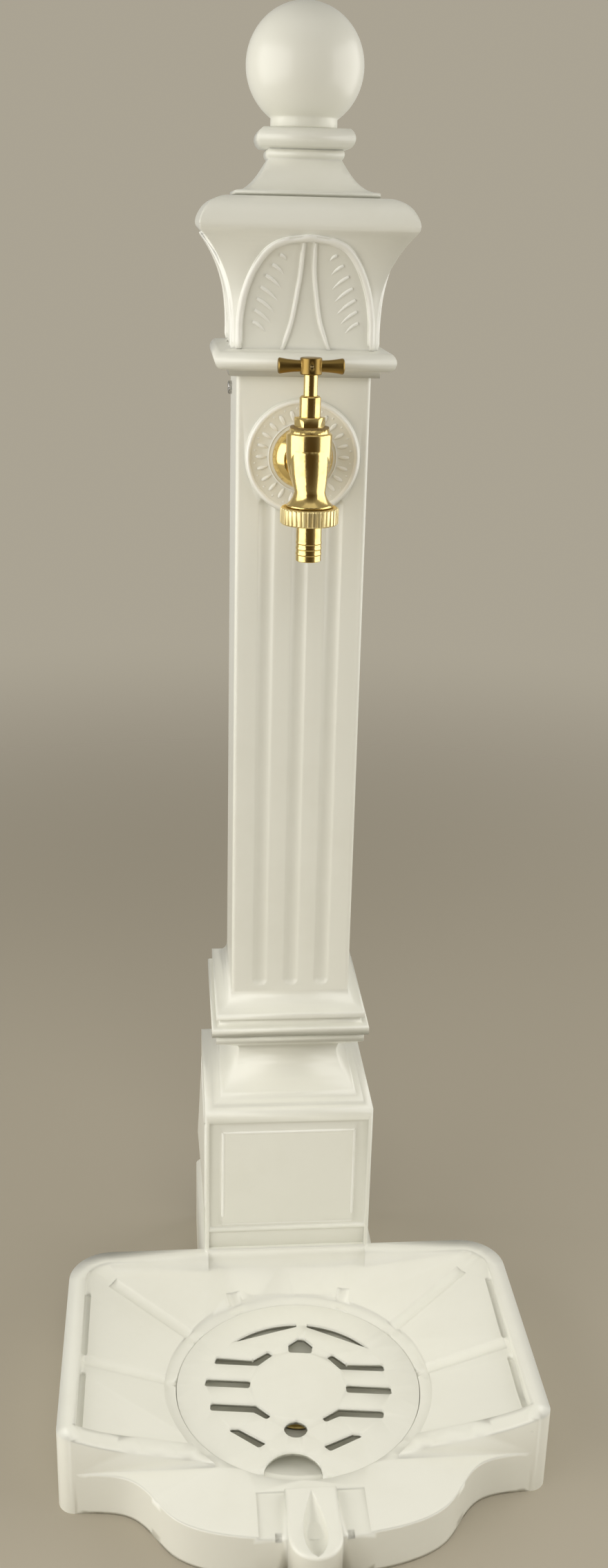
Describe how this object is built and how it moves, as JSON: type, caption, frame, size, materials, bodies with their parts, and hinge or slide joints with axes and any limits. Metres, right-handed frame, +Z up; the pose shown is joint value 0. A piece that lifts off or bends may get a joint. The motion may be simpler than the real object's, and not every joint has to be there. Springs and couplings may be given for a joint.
{
  "type": "garden standpipe",
  "caption": "Free-standing square cast column with a brass hose tap, a capital with ball finial, and a dished basin with a lift-out grate and front spout.",
  "frame": {"origin": "on the column's axis at floor level, midway between the floor bracket's two anchor holes", "axes": "+Z up the column, +X to the right seen from the front, -Y to the front, towards the tap and the basin's spout"},
  "size_m": [0.344, 0.417, 0.9748],
  "materials": {
    "cast_enamel": "gloss cream-white enamel on cast iron",
    "polished_brass": "polished",
    "galvanised_steel": "galvanised",
    "stainless_steel": "bright",
    "black_rubber": "matt",
    "red_fibre": "matt pressed fibre"
  },
  "bodies": {
    "standpipe": {"basin": "cast_enamel", "waste_gasket": "black_rubber", "waste_outlet": "polished_brass", "waste_nut": "polished_brass", "pedestal": "cast_enamel", "shaft": "cast_enamel", "capital": "cast_enamel", "capital_screws": "stainless_steel", "cap": "cast_enamel", "ball_finial": "cast_enamel", "tie_rod": "galvanised_steel", "tie_rod_nut": "galvanised_steel", "floor_bracket": "galvanised_steel", "wall_elbow": "polished_brass", "elbow_seal": "black_rubber", "supply_pipe": "galvanised_steel", "tap_body": "polished_brass", "wall_flange": "polished_brass", "back_nut": "polished_brass", "headwork_washer": "red_fibre", "headwork": "polished_brass", "gland_packing": "red_fibre", "gland_nut": "polished_brass"},
    "grate": {"grate": "cast_enamel"},
    "jumper": {"jumper": "polished_brass", "jumper_washer": "black_rubber"},
    "handle": {"spindle": "polished_brass", "tee_handle": "polished_brass", "handle_pin": "stainless_steel"},
    "hose_tail": {"hose_tail": "polished_brass", "hose_washer": "black_rubber"},
    "union_nut": {"union_nut": "polished_brass"}
  },
  "joints": [
    {"name": "grate_lift", "type": "slide", "parent": "standpipe", "child": "grate", "axis": [0, 0, 1], "range_m": [0, 0.08]},
    {"name": "jumper_rise", "type": "slide", "parent": "standpipe", "child": "jumper", "axis": [0, 0, 1], "range_m": [0, 0.005]},
    {"name": "handle_turn", "type": "hinge", "parent": "jumper", "child": "handle", "pos_m": [0, -0.093, 0.756], "axis": [0, 0, 1], "range_deg": [0, 721]},
    {"name": "tail_drop", "type": "slide", "parent": "standpipe", "child": "hose_tail", "axis": [0, 0, -1], "range_m": [0, 0.0054]},
    {"name": "nut_turn", "type": "hinge", "parent": "hose_tail", "child": "union_nut", "pos_m": [0, -0.106, 0.664], "axis": [0, 0, -1], "range_deg": [0, 1081]}
  ],
  "couplings": [
    {"joint": "handle_turn", "follows": "jumper_rise", "rad_per_m": 2513.3},
    {"joint": "nut_turn", "follows": "tail_drop", "rad_per_m": 3490.7}
  ]
}
